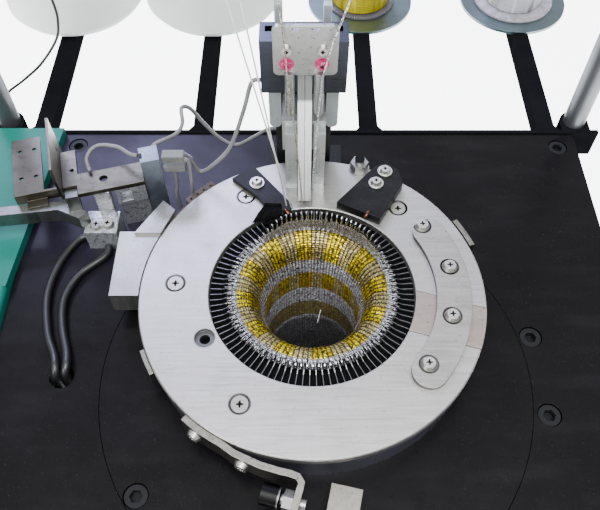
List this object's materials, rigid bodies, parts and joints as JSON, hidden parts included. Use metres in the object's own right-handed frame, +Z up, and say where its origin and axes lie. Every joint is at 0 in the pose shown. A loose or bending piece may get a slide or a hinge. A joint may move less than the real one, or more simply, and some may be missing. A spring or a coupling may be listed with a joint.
{
  "type": "small-diameter circular knitting machine",
  "caption": "Small-diameter circular knitting machine: a turning needle cylinder under a round cover ring on a steel table, with yarn changer, creel and cabinet.",
  "frame": {"origin": "centre of the outer box's footprint, on the floor", "axes": "+Z up, +Y to the rear where the creel is, +X to the right as seen from the front"},
  "size_m": [0.613, 0.74, 1.6563],
  "materials": {
    "frame_black": "satin powder coat",
    "foot_dark": "satin",
    "panel_teal": "semi-gloss paint",
    "hinge_steel": "zinc plated",
    "button_green": "gloss",
    "button_red": "gloss",
    "table_black": "satin black oxide",
    "bolt_black": "black oxide",
    "disc_steel": "turned",
    "package_white": "wound yarn",
    "package_gold": "wound metallic yarn",
    "package_silver": "wound metallic yarn",
    "post_chrome": "polished",
    "guide_grey": "satin",
    "box_blue": "blued steel",
    "cam_steel": "ground",
    "ring_steel": "brushed",
    "gate_steel": "brushed",
    "screw_steel": "nickel plated",
    "zinc": "zinc plated",
    "arm_black": "satin",
    "strip_brown": "rusted",
    "block_grey": "satin",
    "cover_grey": "brushed",
    "finger_steel": "polished",
    "bar_steel": "ground",
    "cast_grey": "cast",
    "column_steel": "blued",
    "bracket_steel": "galvanised",
    "cable_grey": "matt sheath",
    "cable_black": "matt sheath",
    "yarn_white": "spun",
    "housing_iron": "cast",
    "cylinder_steel": "ground",
    "needle_steel": "polished",
    "bed_black": "black oxide",
    "drive_steel": "machined",
    "fabric_gold": "knitted metallic yarn",
    "weight_iron": "cast",
    "belt_black": "matt",
    "motor_blue": "hammered paint"
  },
  "bodies": {
    "machine": {"base_frame": "frame_black", "levelling_feet": "foot_dark", "body_panels": "panel_teal", "front_apron": "panel_teal", "door_hinges": "hinge_steel", "side_cover": "panel_teal", "table_plate": "table_black", "inset_plate": "table_black", "table_bolts": "bolt_black", "creel_frame": "frame_black", "spool_discs": "disc_steel", "white_packages": "package_white", "gold_spool": "package_gold", "clear_spool": "package_silver", "posts": "post_chrome", "guide_bar": "guide_grey", "cam_box": "box_blue", "cam_ring": "cam_steel", "cover_ring": "ring_steel", "cover_screws": "screw_steel", "gate_insert": "gate_steel", "gate_strap": "zinc", "pan_screws": "screw_steel", "feeder_arms": "arm_black", "hex_fasteners": "screw_steel", "ring_straps": "zinc", "side_plates": "zinc", "toothed_strip": "strip_brown", "changer_post": "arm_black", "changer_stand": "zinc", "changer_block": "block_grey", "changer_cover": "cover_grey", "selector_base": "cast_grey", "selector_column": "column_steel", "selector_bar": "zinc", "selector_bracket": "bracket_steel", "selector_blade": "bracket_steel", "support_bar": "zinc", "sensor_cables": "cable_grey", "power_cables": "cable_black", "yarns": "yarn_white", "bearing_housing": "housing_iron", "drive_belt": "belt_black", "motor": "motor_blue"},
    "cylinder": {"needle_cylinder": "cylinder_steel", "needles": "needle_steel", "sinker_bed": "bed_black", "sinkers": "needle_steel", "ring_gear": "drive_steel", "fabric_tube": "fabric_gold", "takedown_weight": "weight_iron"},
    "jack": {"jack_shaft": "drive_steel"},
    "motor_rotor": {"motor_pulley": "drive_steel"},
    "finger_left": {"finger_left": "finger_steel"},
    "finger_right": {"finger_right": "finger_steel"},
    "bar_left": {"bar_left": "bar_steel"},
    "bar_right": {"bar_right": "bar_steel"},
    "door": {"door": "panel_teal"},
    "start_button": {"start_button": "button_green"},
    "stop_button": {"stop_button": "button_red"}
  },
  "joints": [
    {"name": "cylinder_spin", "type": "hinge", "parent": "machine", "child": "cylinder", "pos_m": [0.0285, -0.1, 0.9], "axis": [0, 0, 1], "continuous": true},
    {"name": "jack_spin", "type": "hinge", "parent": "machine", "child": "jack", "pos_m": [-0.0765, -0.1, 0.82], "axis": [0, 0, 1], "continuous": true},
    {"name": "motor_spin", "type": "hinge", "parent": "machine", "child": "motor_rotor", "pos_m": [-0.0765, -0.006, 0.79], "axis": [0, 0, 1], "continuous": true},
    {"name": "finger_left_slide", "type": "slide", "parent": "machine", "child": "finger_left", "axis": [0, 0.1961, 0.9806], "range_m": [0, 0.014]},
    {"name": "finger_right_slide", "type": "slide", "parent": "machine", "child": "finger_right", "axis": [0, 0.1961, 0.9806], "range_m": [0, 0.014]},
    {"name": "bar_left_slide", "type": "slide", "parent": "machine", "child": "bar_left", "axis": [0, 0, 1], "range_m": [0, 0.01]},
    {"name": "bar_right_slide", "type": "slide", "parent": "machine", "child": "bar_right", "axis": [0, 0, 1], "range_m": [0, 0.01]},
    {"name": "door_hinge", "type": "hinge", "parent": "machine", "child": "door", "pos_m": [-0.215, -0.339, 0.43], "axis": [0, 0, -1], "range_deg": [0, 110]},
    {"name": "start_press", "type": "slide", "parent": "machine", "child": "start_button", "axis": [0, 1, 0], "range_m": [0, 0.004], "stiffness_N_per_m": 400, "springref_m": -0.001},
    {"name": "stop_press", "type": "slide", "parent": "machine", "child": "stop_button", "axis": [0, 1, 0], "range_m": [0, 0.004], "stiffness_N_per_m": 500, "springref_m": -0.001}
  ],
  "couplings": [
    {"joint": "jack_spin", "follows": "cylinder_spin", "ratio": -4},
    {"joint": "motor_spin", "follows": "cylinder_spin", "ratio": -8.7059}
  ]
}
